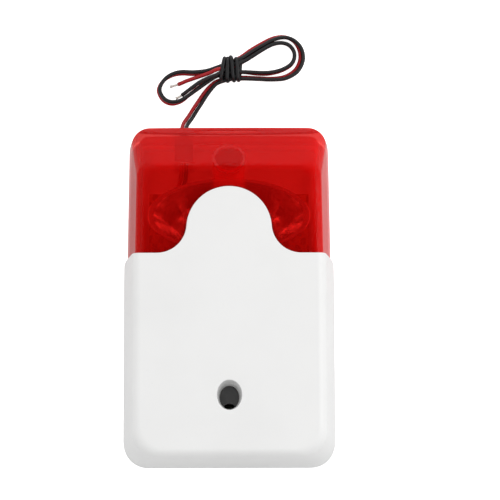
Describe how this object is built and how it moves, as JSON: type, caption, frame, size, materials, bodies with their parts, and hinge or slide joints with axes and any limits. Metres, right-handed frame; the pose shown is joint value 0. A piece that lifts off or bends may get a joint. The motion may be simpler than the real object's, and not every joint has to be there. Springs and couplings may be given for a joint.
{
  "type": "alarm siren",
  "caption": "Indoor alarm siren with a red strobe lens, a front cover with a round sound hole, and twin supply leads tied in a bow.",
  "frame": {"origin": "middle of the housing's footprint, on the back face it lies on", "axes": "+Z the way the front faces, +Y towards the lens end, +X to the right seen from the front"},
  "size_m": [0.074, 0.156, 0.043],
  "materials": {
    "white_abs": "fine satin moulded ABS",
    "red_lens": "glossy translucent red polycarbonate",
    "screw_steel": "zinc plated",
    "chrome_coat": "vacuum-metallised plastic",
    "tube_glass": "clear tube glass",
    "tinned_copper": "tinned",
    "board_laminate": "tan phenolic laminate",
    "ferrite": "sintered ferrite",
    "winding_tape": "yellow polyester tape",
    "capacitor_sleeve": "heat-shrunk sleeve",
    "component_black": "moulded epoxy",
    "resistor_body": "lacquered",
    "sounder_black": "moulded ABS",
    "gasket_rubber": "soft silicone",
    "brass_disc": "rolled sheet",
    "piezo_white": "fired ceramic with a silver face",
    "red_lead": "PVC insulation",
    "black_lead": "PVC insulation"
  },
  "bodies": {
    "base": {"base_plate": "white_abs", "case_screw_top": "screw_steel", "case_screw_left": "screw_steel", "case_screw_right": "screw_steel", "reflector": "chrome_coat", "flash_tube": "tube_glass", "flash_tube_cap_left": "tinned_copper", "flash_tube_cap_right": "tinned_copper", "reflector_screw_left": "screw_steel", "reflector_screw_right": "screw_steel", "circuit_board": "board_laminate", "board_screw_lower_left": "screw_steel", "board_screw_lower_right": "screw_steel", "board_screw_upper_left": "screw_steel", "board_screw_upper_right": "screw_steel", "transformer_core": "ferrite", "transformer_winding": "winding_tape", "flash_capacitor": "capacitor_sleeve", "filter_capacitor": "capacitor_sleeve", "siren_choke": "ferrite", "siren_transistor": "component_black", "strobe_transistor": "component_black", "resistor_1": "resistor_body", "resistor_2": "resistor_body", "resistor_3": "resistor_body", "resistor_4": "resistor_body", "strobe_diode": "component_black", "supply_diode": "component_black", "control_chip": "component_black", "trigger_coil": "winding_tape", "sounder_housing": "sounder_black", "sounder_back": "sounder_black", "sounder_gasket": "gasket_rubber", "sounder_screw_left": "screw_steel", "sounder_screw_right": "screw_steel", "lead_grommet": "gasket_rubber", "lead_red_inner": "red_lead", "lead_black_inner": "black_lead", "lead_red_run": "red_lead", "lead_black_run": "black_lead", "lead_red_loop": "red_lead", "lead_black_loop": "black_lead", "lead_tie": "black_lead", "lead_bow": "black_lead", "lead_red_end": "red_lead", "lead_black_end": "black_lead", "lead_red_tip": "tinned_copper", "lead_black_tip": "tinned_copper"},
    "lens_body": {"lens": "red_lens"},
    "cover_body": {"front_cover": "white_abs"},
    "diaphragm": {"piezo_disc": "brass_disc", "piezo_ceramic": "piezo_white"}
  },
  "joints": [
    {"name": "lens_lift", "type": "slide", "parent": "base", "child": "lens_body", "axis": [0, 0, 1], "range_m": [0, 0.06]},
    {"name": "cover_lift", "type": "slide", "parent": "lens_body", "child": "cover_body", "axis": [0, 0, 1], "range_m": [0, 0.06]},
    {"name": "disc_flex", "type": "slide", "parent": "base", "child": "diaphragm", "axis": [0, 0, 1], "range_m": [-0.00012, 0.00012], "stiffness_N_per_m": 5000}
  ]
}
